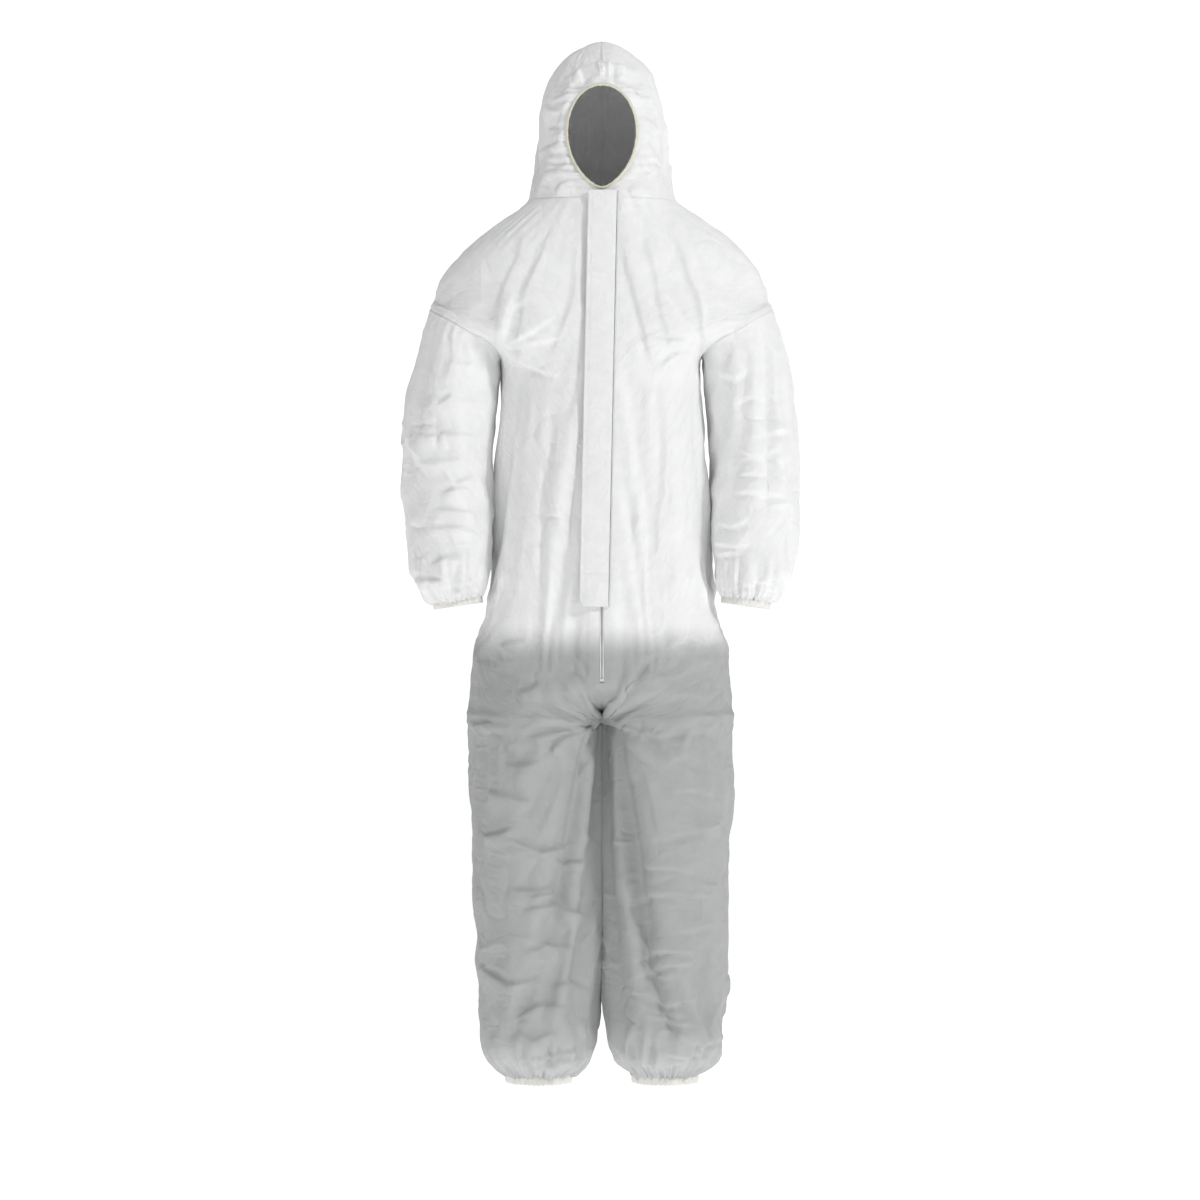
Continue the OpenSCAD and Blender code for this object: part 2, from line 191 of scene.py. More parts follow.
def path_rows(path, count):
    """Rows of a path at equal steps of height."""
    run = np.concatenate([[0], np.cumsum(np.linalg.norm(np.diff(path[:, :3], axis=0), axis=1))])
    steps = np.linspace(0, run[-1], count + 1)
    return np.stack([np.interp(steps, run, path[:, k]) for k in range(6)], 1)


def sleeve_grid():
    angles = np.linspace(0, 2 * PI, 2 * ARM_ROWS + 1)
    grid = np.stack([ring(r, angles) for r in path_rows(SLEEVE_PATH, SLEEVE_ROWS)])
    x, y, z = arm_ring(np.abs((angles + PI) % (2 * PI) - PI))
    grid[0] = np.stack([x, np.where(angles < PI, -y, y), z], 1)
    return grid


def leg_grid():
    """Angle 0 is on the inner side here, so that the ring meets the panels' lowest row."""
    angles = np.linspace(0, 2 * PI, 2 * HALF_COLS + 1)
    rings = []
    for x, y, z, tilt, half, deep in path_rows(LEG_PATH, LEG_ROWS):
        rings.append(np.stack([x - half * np.cos(angles), y - deep * np.sin(angles), z + 0 * angles], 1) * MM)
    return np.stack(rings)


def hood_edge():
    """The front edge of a hood panel: up to the chin, round the face opening, then over the crown."""
    chin, brow = FACE_Z - FACE_H, FACE_Z + FACE_H
    angle = np.linspace(PI, 0, 80)
    egg = np.stack([FACE_W * np.sin(angle).clip(0) ** (1.15 - 0.15 * np.cos(angle)) * (1 + 0.12 * np.cos(angle)),
                    FACE_Z + FACE_H * np.cos(angle)], 1)
    crown = np.stack([np.zeros(40), brow + (HOOD_TOP - brow) * np.sin(np.linspace(0, PI / 2, 40))], 1)
    runs = []
    for flat, rows in ((np.array([(0, 0), (0, chin)]), CHIN_ROWS), (egg, FACE_ROWS),
                       (crown, HOOD_ROWS - CHIN_ROWS - FACE_ROWS)):
        y = -hood_front(flat[:, 1]) * np.sqrt(np.clip(1 - (flat[:, 0] / hood_half(flat[:, 1])) ** 2, 0, 1))
        runs.append(spread(np.stack([flat[:, 0], y, flat[:, 1]], 1), rows)[(1 if runs else 0):])
    return np.concatenate(runs)


def hood_grid():
    edge = hood_edge()
    s = np.linspace(0, 1, 2 * HALF_COLS + 1)
    zb = np.linspace(0, HOOD_TOP, len(edge))
    zb = HOOD_TOP * np.sin(np.linspace(0, PI / 2, len(edge))) * 0.35 + zb * 0.65
    grid = np.zeros((len(edge), len(s), 3))
    for r in range(len(edge)):
        xe, ye, ze = edge[r]
        z = ze + (zb[r] - ze) * s
        half = hood_half(z)
        t0 = np.arcsin(min(1, xe / max(half[0], 1e-6)))
        a = t0 + (PI - t0) * s
        # the neck row keeps the body's own spacing, and the rows above ease away from it
        low = np.clip(1 - r / 8, 0, 1)
        q = np.where(s < 0.5, s * 2, 2 - 2 * s) * PI / 2
        bx = half * np.sin(q) ** (2 / SQUARE)
        by = np.where(s < 0.5, -hood_front(z), hood_back(z)) * np.cos(q).clip(0) ** (2 / SQUARE)
        hx = half * np.sin(a)
        hy = np.where(np.cos(a) > 0, -hood_front(z), -hood_back(z)) * np.cos(a)
        grid[r, :, 0] = bx * low + hx * (1 - low)
        grid[r, :, 1] = by * low + hy * (1 - low)
        grid[r, :, 2] = z
        grid[r, 0] = edge[r]
    grid[0, :, 2] = 0
    grid[-1] = 0, 0, HOOD_TOP  # the crown closes in one point
    return grid


def all_grids():
    """Each kind of piece on the wearer's left, and its mirror image."""
    grids = {"front": body_grid(False), "back": body_grid(True), "sleeve": sleeve_grid(), "leg": leg_grid(),
             "hood": hood_grid()}
    out = {}
    for name, g in grids.items():
        out["left_" + name] = g
        out["right_" + name] = g * np.array([-1, 1, 1])
    return out


def weld(grids):
    """One list of points for all grids, and each grid's own indices into it."""
    names = list(grids)
    flat = np.concatenate([grids[n].reshape(-1, 3) for n in names])
    key = np.round(flat / (0.05 * MM)).astype(np.int64)
    _, first, back = np.unique(key, axis=0, return_index=True, return_inverse=True)
    back = back.reshape(-1)
    index, start = {}, 0
    for n in names:
        rows, cols = grids[n].shape[:2]
        index[n] = back[start:start + rows * cols].reshape(rows, cols)
        start += rows * cols
    return flat[first], index


def quads(index, flip):
    """The four corners of every cell of a grid, turned over if flip."""
    a, b, c, d = index[:-1, :-1], index[:-1, 1:], index[1:, 1:], index[1:, :-1]
    return np.stack([a, b, c, d] if not flip else [a, d, c, b], -1).reshape(-1, 4)


def make_mesh(name, points, faces):
    mesh = bpy.data.meshes.new(name)
    mesh.from_pydata([tuple(p) for p in points], [], [tuple(dict.fromkeys(f)) for f in faces.tolist()
                                                     if len(set(f)) > 2])
    mesh.validate()
    ob = bpy.data.objects.new(name, mesh)
    bpy.context.scene.collection.objects.link(ob)
    return ob


GRIDS = all_grids()
POINTS, INDEX = weld(GRIDS)
FLIP = {"front": True, "back": False, "sleeve": False, "leg": True, "hood": False}
FACES = np.concatenate([quads(INDEX[n], FLIP[n.split("_")[1]] != n.startswith("right")) for n in INDEX])


# ---------------------------------------------------------------- hanging the cloth
def soften(points, faces, share, times):
    """Moves each point part of the way to its neighbours' middle, by its share."""
    edges = np.concatenate([faces[:, [0, 1]], faces[:, [1, 2]], faces[:, [2, 3]], faces[:, [3, 0]]])
    edges = np.unique(np.sort(edges, 1), axis=0)
    edges = edges[edges[:, 0] != edges[:, 1]]
    here, there = np.concatenate([edges, edges[:, ::-1]]).T
    count = np.bincount(here, minlength=len(points)).clip(1)
    for _ in range(times):
        middle = np.stack([np.bincount(here, points[there, k], len(points)) / count for k in range(3)], 1)
        points = points + (middle - points) * np.reshape(share, (-1, 1))
    return points


def grid_mask(name, rows=slice(None), cols=slice(None)):
    out = np.zeros(len(POINTS), bool)
    for side in ("left_", "right_"):
        out[INDEX[side + name][rows, cols].reshape(-1)] = True
    return out


X, Y, Z = POINTS.T
armhole = np.exp(-((Z + 0.205) / 0.06) ** 2) * (np.abs(X) > 0.12)
crotch = np.exp(-((Z + 0.800) / 0.055) ** 2) * np.clip((np.abs(X) - 0.02) / 0.04, 0, 1)
START = soften(POINTS, FACES, 0.5 * armhole, 20)
START = soften(START, FACES, 0.6 * crotch, 60)


WIDE, DEEP, LONG = 1.06, 1.09, 1.06  # how much larger the cloth is than the space it hangs in


def rest_shape(points):
    """The cloth's own size, a little larger than the space it hangs in, so that it folds."""
    x, y, z = points.T.copy()
    long = np.where(z < 0, LONG, 1.02)
    out = points.copy()
    out[:, 0] = x * WIDE
    out[:, 1] = y * DEEP
    out[:, 2] = z * long
    for side in ("left_", "right_"):
        for name, last in (("sleeve", 4), ("leg", 5)):
            index = INDEX[side + name]
            hem = index[-last:]
            middle = out[hem].mean(1, keepdims=True)
            wide = np.array([58.0, 66.0] if name == "sleeve" else [90.0, 94.0]) * MM
            ring_now = out[hem] - middle
            now = np.abs(ring_now[:, :, :2]).max(1, keepdims=True)
            out[hem, :2] = middle[:, :, :2] + ring_now[:, :, :2] * (np.maximum(now, wide) / now)
    rim = np.array([0, 0, FACE_Z])
    for side in ("left_", "right_"):
        index = INDEX[side + "hood"]
        for col, more, forward in ((0, 1.30, 0.030), (1, 1.24, 0.022), (2, 1.16, 0.013), (3, 1.08, 0.006)):
            part = index[3:-14, col]
            out[part] = rim + (out[part] - rim) * [more, 1, more] - [0, forward, 0]
    return out


def smooth(x, low, high):
    """0 below low, 1 above high, and eased in between."""
    t = np.clip((x - low) / (high - low), 0, 1)
    return t * t * (3 - 2 * t)


def body_double():
    """A plain figure inside the suit for the cloth to rest on; it is removed afterwards."""
    parts = []
    for name, grid in GRIDS.items():
        kind = name.split("_")[1]
        g = grid.copy()
        z = g[..., 2]
        if kind in ("front", "back"):
            f = np.interp(z, [-0.83, -0.7, -0.6, -0.48, -0.36, -0.235, -0.168, -0.073, -0.024, 0],
                          [0.945, 0.93, 0.87, 0.84, 0.89, 0.94, 0.965, 0.965, 0.95, 0.90])
            g[..., 0] *= f
            g[..., 1] *= f - 0.04 * smooth(-z - 0.60, 0, 0.2)
            g[..., 2] -= 0.004
        elif kind == "hood":
            f = np.interp(z, [0, 0.04, 0.10, 0.18, 0.24, 0.27], [0.88, 0.70, 0.86, 0.93, 0.95, 0.95])
            g[..., 0] *= f
            g[..., 1] = g[..., 1] * f + 0.004
            g[..., 2] -= 0.005
        else:
            k = np.arange(len(g))[:, None]
            f = np.interp(k, [0, 6, 14, len(g) - 8, len(g)], [0.93, 0.84, 0.74, 0.66, 0.9] if kind == "sleeve"
                          else [0.90, 0.87, 0.76, 0.58, 0.9])[..., None]
            middle = g[:, :-1].mean(1, keepdims=True)
            g = middle + (g - middle) * f
        parts.append((name, g[::2, ::2]))
    points, faces, start = [], [], 0
    for name, g in parts:
        rows, cols = g.shape[:2]
        points.append(g.reshape(-1, 3))
        faces.append(quads(np.arange(rows * cols).reshape(rows, cols) + start,
                           FLIP[name.split("_")[1]] != name.startswith("right")))
        start += rows * cols
    return make_mesh("body_double", np.concatenate(points), np.concatenate(faces))


def pinned():
    pins = np.zeros(len(POINTS))
    pins[grid_mask("sleeve", slice(-1, None))] = 1
    pins[grid_mask("leg", slice(-1, None))] = 1
    pins[grid_mask("hood", slice(0, 1))] = 1
    pins[grid_mask("hood", slice(None), slice(0, 1))] = 1
    pins[Z > HOOD_TOP - 0.020] = 1
    pins[grid_mask("front", slice(None), slice(0, 3))] = 1
    return pins


def hang(points, rest, frames):
    """The suit's points after the cloth has settled on the body double."""
    rough = np.array([noise.noise(Vector(p) * 14) + 0.6 * noise.noise(Vector(p) * 31) for p in points])
    out_dir = points * [1, 1, 0]
    out_dir /= np.linalg.norm(out_dir, axis=1, keepdims=True).clip(1e-6)
    pins = pinned()
    moved = points + out_dir * (rough * 3 * MM * (1 - pins))[:, None]
    suit = make_mesh("suit", moved, FACES)
    double = body_double()
    double.modifiers.new("Collision", "COLLISION")
    double.collision.thickness_outer = 0.003
    double.collision.cloth_friction = 12
    suit.shape_key_add(name="Basis")
    larger = suit.shape_key_add(name="rest")
    larger.data.foreach_set("co", rest.reshape(-1))
    group = suit.vertex_groups.new(name="pins")
    for i in np.nonzero(pins)[0]:
        group.add([int(i)], float(pins[i]), "REPLACE")
    cloth = suit.modifiers.new("Cloth", "CLOTH")
    cs = cloth.settings
    cs.quality = 6
    cs.mass = 0.02
    cs.air_damping = 2
    cs.tension_stiffness = cs.compression_stiffness = 20
    cs.shear_stiffness = 8
    cs.bending_stiffness = 0.4
    cs.tension_damping = cs.compression_damping = 8
    cs.vertex_group_mass = "pins"
    cs.rest_shape_key = larger
    cloth.collision_settings.distance_min = 0.003
    cloth.collision_settings.collision_quality = 2
    cloth.point_cache.frame_start, cloth.point_cache.frame_end = 1, frames
    scene = bpy.context.scene
    scene.frame_start, scene.frame_end = 1, frames
    for f in range(1, frames + 1):
        scene.frame_set(f)
    seen = suit.evaluated_get(bpy.context.evaluated_depsgraph_get())
    mesh = seen.to_mesh()
    settled = np.empty(len(points) * 3)
    mesh.vertices.foreach_get("co", settled)
    seen.to_mesh_clear()
    scene.frame_set(1)
    for ob in (suit, double):
        data = ob.data
        bpy.data.objects.remove(ob)
        bpy.data.meshes.remove(data)
    return settled.reshape(-1, 3)


FRAMES = 34  # by then the cloth has come to rest
BROAD_SHARE, FOLD_GAIN = 0.3, 1.6  # how much of the settling, and of its folds, is kept


def drape():
    """The suit's own outline, with the folds that the simulation puts in it."""
    moved = hang(START, rest_shape(START), FRAMES) - START
    broad = soften(moved, FACES, np.ones(len(START)), 60)
    calm = 1 - np.exp(-((X / 0.035) ** 4)) * (Y < 0) * smooth(Z + 0.81, 0, 0.03) * (Z < 0.02)
    return START + (BROAD_SHARE * broad + FOLD_GAIN * (moved - broad)) * calm[:, None]


SETTLED = drape()

# ---------------------------------------------------------------- one fine mesh for the whole suit
PIECES = ["front", "back", "hood", "sleeve_upper", "sleeve_lower", "leg_upper", "leg_lower"]
SPLIT = {"sleeve": -0.340, "leg": -0.995}
FAR = 9.0  # stands for no distance at all


def along(grid, axis):
    """The running length of a grid's lines along an axis."""
    step = np.linalg.norm(np.diff(grid, axis=axis), axis=2)
    pad = [(1, 0), (0, 0)] if axis == 0 else [(0, 0), (1, 0)]
    return np.cumsum(np.pad(step, pad), axis=axis)


def fine_mesh(levels):
    """The settled cloth, subdivided, with the piece of each face and what each point needs to know."""
    corners, cloth_u, cloth_v, piece = [], [], [], []
    seam = np.zeros(len(POINTS))
    rim = np.full((len(POINTS), 3), FAR)  # distance from the face opening, run along it, column from the zip
    for name, index in INDEX.items():
        side, kind = name.split("_")
        flip = FLIP[kind] != (side == "right")
        u, v = along(GRIDS[name], 1), along(GRIDS[name], 0)
        corners += quads(index, flip).tolist()
        cloth_u += quads(u, flip).tolist()
        cloth_v += quads(v, flip).tolist()
        rows, cols = index.shape
        z = GRIDS[name][:-1, :, 2].mean(1)
        for r in range(rows - 1):
            part = kind if kind not in SPLIT else kind + ("_upper" if z[r] > SPLIT[kind] else "_lower")
            piece += [PIECES.index(part) + 10 * (side == "right")] * (cols - 1)
        for line in (index[0], index[:, 0], index[:, -1]) if kind != "leg" else (index[:, 0], index[:, -1]):
            seam[line] = 1
        if kind == "leg":
            seam[index[:, cols // 2]] = 1
        if kind == "hood":
            rim[index, 0] = u
            rim[index, 1] = v[:, :1]
            seam[index[GRIDS[name][:, 0, 0] * (1 if side == "left" else -1) > MM, 0]] = 0
        if kind == "front":
            rim[index, 2] = np.minimum(rim[index, 2], np.arange(cols)[None, :])
    ob_faces, loops, kept = [], [], []
    for f, us, vs, p in zip(corners, cloth_u, cloth_v, piece):
        own = [k for k in range(4) if f[k] not in f[:k]]
        if len(own) > 2:
            ob_faces.append([f[k] for k in own])
            loops += [(us[k], vs[k]) for k in own]
            kept.append(p)
    mesh = bpy.data.meshes.new("suit")
    mesh.from_pydata([tuple(p) for p in SETTLED], [], ob_faces)
    mesh.attributes.new("piece", "INT", "FACE").data.foreach_set("value", kept)
    mesh.attributes.new("rest", "FLOAT_VECTOR", "POINT").data.foreach_set("vector", START.reshape(-1))
    mesh.attributes.new("rim", "FLOAT_VECTOR", "POINT").data.foreach_set("vector", rim.reshape(-1))
    mesh.attributes.new("seam", "FLOAT", "POINT").data.foreach_set("value", seam)
    mesh.uv_layers.new(name="cloth").uv.foreach_set("vector", np.array(loops).reshape(-1))
    suit = bpy.data.objects.new("suit", mesh)
    bpy.context.scene.collection.objects.link(suit)
    finer = suit.modifiers.new("finer", "SUBSURF")
    finer.levels, finer.boundary_smooth = levels, "PRESERVE_CORNERS"
    seen = suit.evaluated_get(bpy.context.evaluated_depsgraph_get())
    out = bpy.data.meshes.new_from_object(seen)
    bpy.data.objects.remove(suit)
    bpy.data.meshes.remove(mesh)
    return out


def read(items, name, width, kind=float):
    """A mesh attribute as rows of a given width."""
    data = np.zeros(len(items) * width, kind)
    items.foreach_get(name, data)
    return data.reshape(-1, width) if width > 1 else data


def vertex_normals(points, faces):
    a, b, c, d = (points[faces[:, k]] for k in range(4))
    n = np.cross(c - a, d - b)
    return unit(np.stack([np.bincount(faces.reshape(-1), np.repeat(n[:, k], 4), len(points)) for k in range(3)], 1))


def unit(v):
    return v / np.linalg.norm(v, axis=1, keepdims=True).clip(1e-12)


def wobble(p, seed):
    """Smooth noise between -1 and 1 at points given in cells."""
    p = np.asarray(p, float)
    cell = np.floor(p).astype(np.int64)
    t = p - cell
    t = t * t * (3 - 2 * t)
    total = 0
    for k in range(8):
        corner = np.array([k & 1, k >> 1 & 1, k >> 2 & 1])
        c = cell + corner
        h = (c[:, 0] * 73856093) ^ (c[:, 1] * 19349663) ^ (c[:, 2] * 83492791) ^ (seed * 2654435761)
        h = ((h & 0xFFFFFFFF) * 1274126177) & 0xFFFFFFFF
        h = ((h ^ (h >> 15)) * 2246822519) & 0xFFFFFFFF
        value = ((h >> 8) & 0xFFFF) / 32767.5 - 1
        total = total + value * np.prod(np.where(corner, t, 1 - t), 1)
    return total


def creases(p, seed, sharp=3.0):
    """Papery folds: sharp ridges and furrows that come and go."""
    ridge = (1 - np.abs(wobble(p, seed)) * 2.2).clip(0) ** sharp
    return ridge * wobble(np.asarray(p) * 0.45 + 7, seed + 1) * 1.6


CROTCH_POINT = np.array([0, CROTCH])
KNEE_LOW, KNEE_HIGH = box("left_knee_cloth")
ANKLE = box("left_ankle_elastic")[1][2]
ELBOW_LOW, ELBOW_HIGH = box("left_elbow_cloth")
WRIST = box("left_wrist_elastic")[1][2]
WAIST = box("waist_elastic")[0][2]


def fold_lines():
    """The larger folds as (width, height, points) in metres, seen from the front: they fan out from the places
    where the cloth is held or pinched, with chance in their lengths, slants and bows."""
    chance = np.random.default_rng(11)
    folds = []

    def fold(start, end, width, height, bow=0.12):
        start, end = np.array(start, float), np.array(end, float)
        out = np.array([end[1] - start[1], start[0] - end[0]])
        middle = (start + end) / 2 + out * bow * chance.uniform(-1, 1) + chance.normal(0, 0.004, 2)
        size = chance.uniform(0.75, 1.25)
        folds.append((width * MM, height * MM * size, start, middle, end))

    def fan(centre, angles, near, far, width, height):
        for angle in angles:
            a = np.radians(angle + chance.uniform(-7, 7))
            way = np.array([np.cos(a), np.sin(a)])
            fold(centre + way * near, centre + way * far * chance.uniform(0.7, 1.15), width, height)

    def across(x_low, x_high, z_low, z_high, count, width, height):
        for z in np.linspace(z_low, z_high, count) + chance.normal(0, 0.006, count):
            reach = (x_high - x_low) * chance.uniform(0.3, 0.65)
            start = chance.uniform(x_low, x_high - reach)
            fold((start, z), (start + reach, z + chance.uniform(-0.28, 0.28) * reach), width, height, 0.22)

    for side in (1, -1):
        first = len(folds)
        fan(CROTCH_POINT, (58, 34, 12, -14, -40, -66), 0.006, 0.150, 15, 5.5)
        fan(np.array([body_half(ARMPIT), ARMPIT]), (208, 176, 150, 124, 100), 0.010, 0.110, 14, 4.5)
        for across_chest in (0.25, 0.6, 0.95):
            top = NECK_HALF * across_chest
            fold((top, -0.035), (top + 0.06, ARMPIT - 0.05), 20, 4.0)
            fold((top + 0.035, ARMPIT - 0.09), (top + 0.015, WAIST - 0.12), 20, 3.5, 0.06)
        hip = body_half(CROTCH)
        across(hip * 0.45, hip, CROTCH + 0.10, KNEE_HIGH[2] + 0.02, 6, 13, 5.0)
        across(KNEE_LOW[0], KNEE_HIGH[0], KNEE_HIGH[2], KNEE_LOW[2], 5, 14, 5.5)
        across(KNEE_LOW[0], KNEE_HIGH[0], KNEE_LOW[2] - 0.05, ANKLE + 0.02, 7, 14, 5.5)
        fold((KNEE_HIGH[0] * 0.3, CROTCH - 0.07), (KNEE_HIGH[0] * 0.5, KNEE_HIGH[2]), 18, 4.5)
        across(ELBOW_LOW[0], ELBOW_HIGH[0], ARMPIT - 0.04, ELBOW_HIGH[2], 3, 14, 5.0)
        across(ELBOW_LOW[0], ELBOW_HIGH[0], ELBOW_HIGH[2], WRIST + 0.02, 8, 13, 5.5)
        face_angles = np.linspace(-72, 84, 9)
        for angle in np.radians(face_angles + chance.uniform(-5, 5, len(face_angles))):
            way = np.array([np.cos(angle), np.sin(angle)])
            rim = np.array([0, FACE_Z]) + way * [FACE_W + 0.014, FACE_H + 0.012]
            fold(rim, rim + way * chance.uniform(0.022, 0.045) + [0, 0.006], 11, 4.5)
        for k in range(first, len(folds)):
            folds[k] = folds[k][:2] + tuple(p * [side, 1] for p in folds[k][2:])
    return folds


FOLDS = fold_lines()


def strokes(p, folds):
    """Raised folds along their lines, seen from the front."""
    out = np.zeros(len(p))
    flat = p[:, [0, 2]] + 0.005 * np.stack([wobble(p * 22, 91), wobble(p * 22, 92)], 1)
    for width, height, *line in folds:
        line = np.array(line)
        low, high = line.min(0) - 3.4 * width, line.max(0) + 3.4 * width
        near = np.nonzero(((flat > low) & (flat < high)).all(1))[0]
        if not len(near):
            continue
        here = flat[near]
        steps = np.linalg.norm(np.diff(line, axis=0), axis=1)
        best, off, run = np.full(len(near), 9.0), np.zeros(len(near)), np.zeros(len(near))
        for k, length in enumerate(steps):
            d = (line[k + 1] - line[k]) / length
            rel = here - line[k]
            t = (rel @ d).clip(0, length)
            gap = rel - t[:, None] * d
            dist = np.linalg.norm(gap, axis=1)
            closer = dist < best
            best[closer] = dist[closer]
            off[closer] = (dist * np.sign(rel @ np.array([-d[1], d[0]])))[closer]
            run[closer] = (t + steps[:k].sum())[closer] / steps.sum()
        profile = np.where(off > 0, np.exp(-(off / (1.7 * width)) ** 2), np.exp(-(off / (0.28 * width)) ** 2))
        profile = profile - 0.25 * np.exp(-((off + 0.6 * width) / (0.4 * width)) ** 2)
        out[near] += height * profile * smooth(run, -0.02, 0.3) * (1 - smooth(run, 0.7, 1.02))
    return out


def gathers(p, rim):
    """Pleats drawn in by the elastic at the face, the wrists, the ankles and the back of the waist."""
    x, y, z = p.T
    out = np.zeros(len(p))
    d, run = rim[:, 0], rim[:, 1]
    flat = 0 * x + 0.5
    open_part = (d < 0.12) * smooth(z, 0.015, 0.04) * (1 - smooth(np.abs(z - FACE_Z), FACE_H + 0.02, FACE_H + 0.06))
    side = np.where(x < 0, 1.0, 0.5 + 0.5 * smooth(z, 0.15, 0.18)) * (0.75 + 0.5 * wobble(p * 25, 5))
    fine = np.sin(2 * PI * (run * 128 + 1.1 * wobble(np.stack([run * 40, d * 14, flat], 1), 3)))
    long = np.sin(2 * PI * (run * 50 + d * 3 + 1.3 * wobble(np.stack([run * 22, d * 6, flat], 1), 4)))
    out += open_part * side * MM * (1.5 * fine * np.exp(-d / 0.013)
                                    + 2.8 * long * np.exp(-((d - 0.024) / 0.020) ** 2))
    out += open_part * 3 * MM * np.exp(-((d - 0.016) / 0.012) ** 2) * smooth(d, 0, 0.01)
    for path, limb, counts, deep, reach in ((SLEEVE_PATH, "sleeve", (36, 15), 1.5, 0.055),
                                            (LEG_PATH, "leg", (46, 19), 1.9, 0.070)):
        cx, cy, cz = path[-1, :3] * MM
        here = (np.abs(np.abs(x) - cx) < 0.12) & (z < cz + 0.16)
        if limb == "sleeve":
            here &= (np.abs(x) > 0.155) & (rim[:, 2] >= FAR)
        a = np.arctan2(y - cy, np.abs(x) - cx) + np.sign(x) * 0.4
        up = z - cz
        turned = np.stack([np.cos(a) * 4, np.sin(a) * 4, up * 20 + np.sign(x) * 5], 1)
        close = np.sin(counts[0] * a + 2.2 * wobble(turned, 11))
        wide = np.sin(counts[1] * a + 3.0 * wobble(turned, 12)) + 0.6 * wobble(turned * [1.6, 1.6, 1], 13)
        out += here * MM * deep * (close * np.exp(-(up / (0.4 * reach)) ** 2)
                                   + 2.0 * wide * np.exp(-((up - 0.55 * reach) / (0.6 * reach)) ** 2))
    drawn = np.exp(-((z + 0.480) / 0.035) ** 2) * ((y > 0.05) & (np.abs(x) < 0.13))
    folds = np.sin(2 * PI * (x * 75 + 0.8 * wobble(np.stack([x * 40, z * 12, flat], 1), 21)))
    return out + drawn * MM * (1.3 * folds - 3)


SLIDER_EDGE = box("zip_slider")[0][0] - 2 * MM


def relief(rest, rim, seam):
    """How far each point of the cloth stands proud of the settled surface."""
    x, y, z = rest.T
    front = y < 0.02
    bent = rest + np.stack([wobble(rest * 9, 31), wobble(rest * 9, 32), wobble(rest * 9, 33)], 1) * 0.02
    tall = bent * [1, 1, 0.55]
    leg = smooth(-z, 0.66, 0.86)
    limb = np.maximum(leg, smooth(np.abs(x), 0.17, 0.21) * smooth(-z, 0.26, 0.34))
    chest = np.where(z > 0.0, 0.7, 0.65) + 0.75 * limb
    out = MM * chest * (4.2 * creases(tall * 11, 41, 1.6) + 2.2 * creases(bent * 24, 43, 2.0)
                        + 1.0 * creases(bent * 55, 45))
    out += MM * 2.4 * wobble(tall * 9, 47) * chest
    fade = 1 - smooth(y, -0.03, 0.03)
    out += strokes(rest, FOLDS) * fade + strokes(rest * [-1, 1, 1] + [0.01, 0, 0.02], FOLDS) * 0.8 * (1 - fade)
    flat_front = np.exp(-((x / np.where(z > -0.655, 0.034, 0.025)) ** 6)) * front
    flat_front *= smooth(z, -0.80, -0.785) * (1 - smooth(z, 0.0, 0.02))
    out *= 1 - flat_front
    out += gathers(rest, rim)
    pucker = 0.5 + 0.5 * wobble(rest * 120, 51)
    out += np.where(seam > 0.8, -1.3, np.where(seam > 0.3, 0.9 * pucker, 0)) * MM * (1 - flat_front)
    facing = front & (x > -0.022) & (x < SLIDER_EDGE) & (z > -0.787) & (z < -0.60)
    return out + facing * 1.0 * MM


LEVELS = 2
FINE = fine_mesh(LEVELS)
QUADS = read(FINE.loops, "vertex_index", 1, np.int32)
assert len(QUADS) == 4 * len(FINE.polygons)
QUADS = QUADS.reshape(-1, 4)
PIECE = read(FINE.attributes["piece"].data, "value", 1, np.int32)
REST = read(FINE.attributes["rest"].data, "vector", 3)
RIM = read(FINE.attributes["rim"].data, "vector", 3)
SEAM = read(FINE.attributes["seam"].data, "value", 1)
UV = read(FINE.uv_layers["cloth"].uv, "vector", 2).reshape(-1, 4, 2)
SHAPE = read(FINE.vertices, "co", 3)
SHAPE = SHAPE + vertex_normals(SHAPE, QUADS) * relief(REST, RIM, SEAM)[:, None]
# the legs may meet in the middle, but not pass through each other
APART = (REST[:, 2] < CROTCH - 0.012) * 0.05 * MM
SHAPE[:, 0] = np.where(APART == 0, SHAPE[:, 0], np.sign(REST[:, 0]) * (SHAPE[:, 0] * np.sign(REST[:, 0])).clip(APART))
NORMAL = vertex_normals(SHAPE, QUADS)


# ---------------------------------------------------------------- materials
def material(name, colour, roughness, specular=0.4, sheen=0.0, metal=0.0):
    """A Principled material, its node tree and its shader."""
    mat = bpy.data.materials.new(name)
    mat.use_nodes = True
    tree = mat.node_tree
    shader = tree.nodes["Principled BSDF"]
    shader.inputs["Base Color"].default_value = (*colour, 1)
    shader.inputs["Roughness"].default_value = roughness
    shader.inputs["Specular IOR Level"].default_value = specular
    shader.inputs["Sheen Weight"].default_value = sheen
    shader.inputs["Metallic"].default_value = metal
    return mat, tree, shader


def node(tree, kind, links=(), **values):
    """A shader node; a value may set a property or an input, and links is (input, output) pairs."""
    made = tree.nodes.new("ShaderNode" + kind)
    for key, value in values.items():
        if hasattr(made, key):
            setattr(made, key, value)
        else:
            made.inputs[key.replace("_", " ")].default_value = value
    for into, out in links:
        tree.links.new(out, made.inputs[into])
    return made


def math(tree, operation, a, b):
    """A Math node's output; a and b are numbers or outputs."""
    made = node(tree, "Math", operation=operation)
    for k, value in enumerate((a, b)):
        if isinstance(value, (int, float)):
            made.inputs[k].default_value = value
        else:
            tree.links.new(value, made.inputs[k])
    return made.outputs[0]


